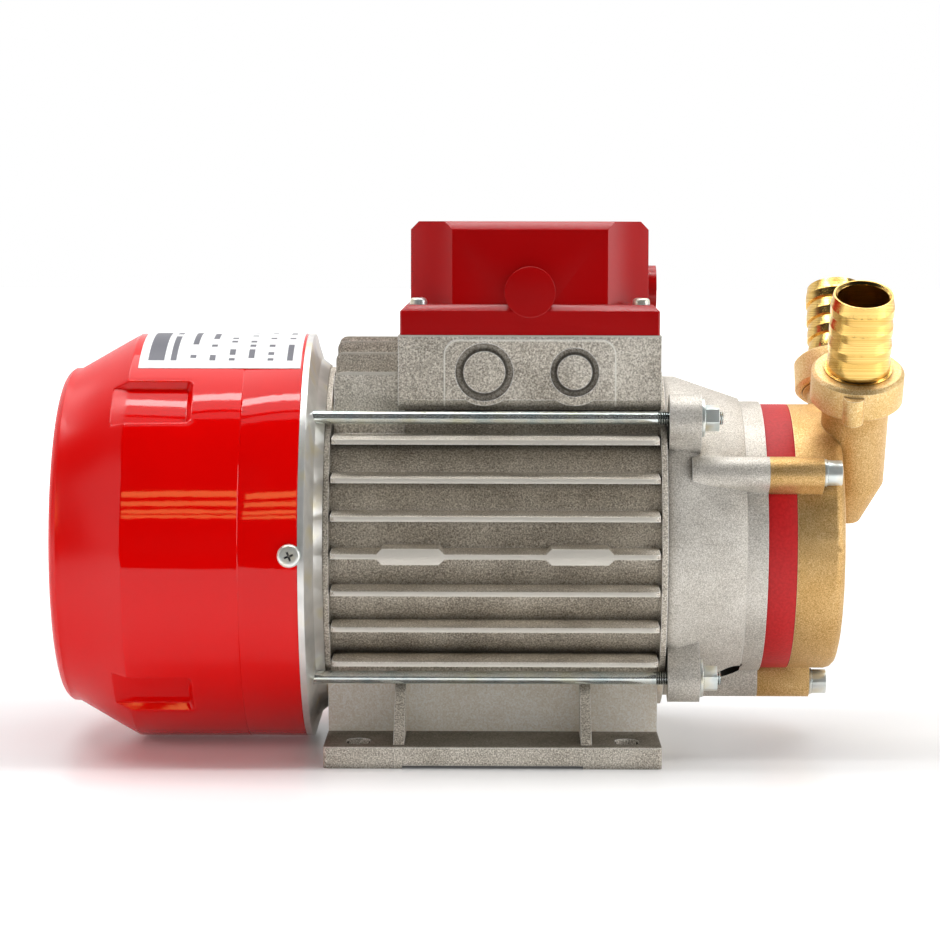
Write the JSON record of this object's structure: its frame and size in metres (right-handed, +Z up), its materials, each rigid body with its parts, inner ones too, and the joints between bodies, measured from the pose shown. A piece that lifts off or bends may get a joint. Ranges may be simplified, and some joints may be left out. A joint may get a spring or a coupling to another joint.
{
  "type": "electric pump",
  "caption": "Foot-mounted electric motor with a finned housing, red fan cover and terminal box, driving a brass pump head with ribbed hose tails and ring nuts.",
  "frame": {"origin": "centre of the slotted feet's hole pattern, on the underside of the feet", "axes": "+X along the shaft from the fan cover to the pump head, +Z up from the feet, +Y towards the side away from the cable knock-outs"},
  "size_m": [0.2888, 0.146, 0.181],
  "materials": {
    "red_cover_plastic": "gloss, injection moulded",
    "red_lid_plastic": "satin, injection moulded",
    "red_ring_paint": "matte paint on a casting",
    "label_foil": "printed foil",
    "cast_aluminium": "as cast",
    "shield_aluminium": "as cast, fine grain",
    "machined_aluminium": "machined",
    "electrical_steel": "stacked laminations",
    "ground_steel": "ground",
    "zinc_steel": "bright zinc plate",
    "copper_wire": "enamelled copper, varnished",
    "cage_brass": "pressed",
    "cast_brass": "sandblasted casting",
    "nut_brass": "sandblasted casting, lighter",
    "turned_brass": "turned",
    "stud_brass": "turned",
    "fan_nylon": "moulded",
    "terminal_plastic": "moulded thermoset",
    "capacitor_can": "moulded can",
    "black_rubber": "moulded",
    "fibre_gasket": "fibre sheet",
    "seal_ceramic": "lapped",
    "seal_graphite": "lapped carbon"
  },
  "bodies": {
    "motor": {"fan_cover": "red_cover_plastic", "fan_cover_screws": "zinc_steel", "rating_label": "label_foil", "rear_shield": "machined_aluminium", "stator_housing": "cast_aluminium", "stator_core": "electrical_steel", "stator_windings": "copper_wire", "rear_bearing_outer": "ground_steel", "front_bearing_outer": "ground_steel", "preload_washer": "zinc_steel", "front_shield": "shield_aluminium", "tie_rods": "zinc_steel", "tie_rod_washers": "zinc_steel", "tie_rod_nuts": "zinc_steel", "box_lid": "red_lid_plastic", "lid_screws": "zinc_steel", "lid_gasket": "black_rubber", "capacitor": "capacitor_can", "capacitor_clamp": "zinc_steel", "terminal_block": "terminal_plastic", "terminal_studs": "stud_brass", "pump_ring": "red_ring_paint", "seal_seat": "seal_ceramic", "head_o_ring": "black_rubber", "pump_head": "cast_brass", "pump_bolts": "zinc_steel", "pump_bolt_washers": "zinc_steel", "suction_gasket": "fibre_gasket", "delivery_gasket": "fibre_gasket"},
    "rotor": {"rotor_core": "electrical_steel", "rotor_end_rings": "machined_aluminium", "shaft": "ground_steel", "rear_bearing_inner": "ground_steel", "front_bearing_inner": "ground_steel", "cooling_fan": "fan_nylon", "fan_clip": "zinc_steel", "slinger": "black_rubber", "seal_face": "seal_graphite", "seal_spring": "ground_steel", "seal_bellows": "black_rubber", "impeller": "cast_brass", "impeller_key": "ground_steel", "impeller_clip": "zinc_steel"},
    "rear_cage": {"rear_bearing_cage": "cage_brass", "rear_bearing_balls": "ground_steel"},
    "front_cage": {"front_bearing_cage": "cage_brass", "front_bearing_balls": "ground_steel"},
    "suction_tail": {"suction_tail": "turned_brass"},
    "suction_nut": {"suction_nut": "nut_brass"},
    "delivery_tail": {"delivery_tail": "turned_brass"},
    "delivery_nut": {"delivery_nut": "nut_brass"}
  },
  "joints": [
    {"name": "rotor_spin", "type": "hinge", "parent": "motor", "child": "rotor", "pos_m": [0, 0, 0.071], "axis": [1, 0, 0], "continuous": true},
    {"name": "rear_cage_spin", "type": "hinge", "parent": "motor", "child": "rear_cage", "pos_m": [-0.0605, 0, 0.071], "axis": [1, 0, 0], "continuous": true},
    {"name": "front_cage_spin", "type": "hinge", "parent": "motor", "child": "front_cage", "pos_m": [0.0665, 0, 0.071], "axis": [1, 0, 0], "continuous": true},
    {"name": "suction_tail_lift", "type": "slide", "parent": "motor", "child": "suction_tail", "axis": [0, -0.4571, 0.8894], "range_m": [0, 0.008]},
    {"name": "suction_nut_turn", "type": "hinge", "parent": "suction_tail", "child": "suction_nut", "pos_m": [0.124, -0.0288, 0.12703], "axis": [0, -0.4571, 0.8894], "range_deg": [0, 1587.6]},
    {"name": "delivery_tail_lift", "type": "slide", "parent": "motor", "child": "delivery_tail", "axis": [0, 0.4571, 0.8894], "range_m": [0, 0.008]},
    {"name": "delivery_nut_turn", "type": "hinge", "parent": "delivery_tail", "child": "delivery_nut", "pos_m": [0.124, 0.0288, 0.12703], "axis": [0, 0.4571, 0.8894], "range_deg": [0, 1587.6]}
  ],
  "couplings": [
    {"joint": "rear_cage_spin", "follows": "rotor_spin", "ratio": 0.381},
    {"joint": "front_cage_spin", "follows": "rotor_spin", "ratio": 0.381},
    {"joint": "suction_tail_lift", "follows": "suction_nut_turn", "m_per_rad": 0.0002887},
    {"joint": "delivery_tail_lift", "follows": "delivery_nut_turn", "m_per_rad": 0.0002887}
  ]
}
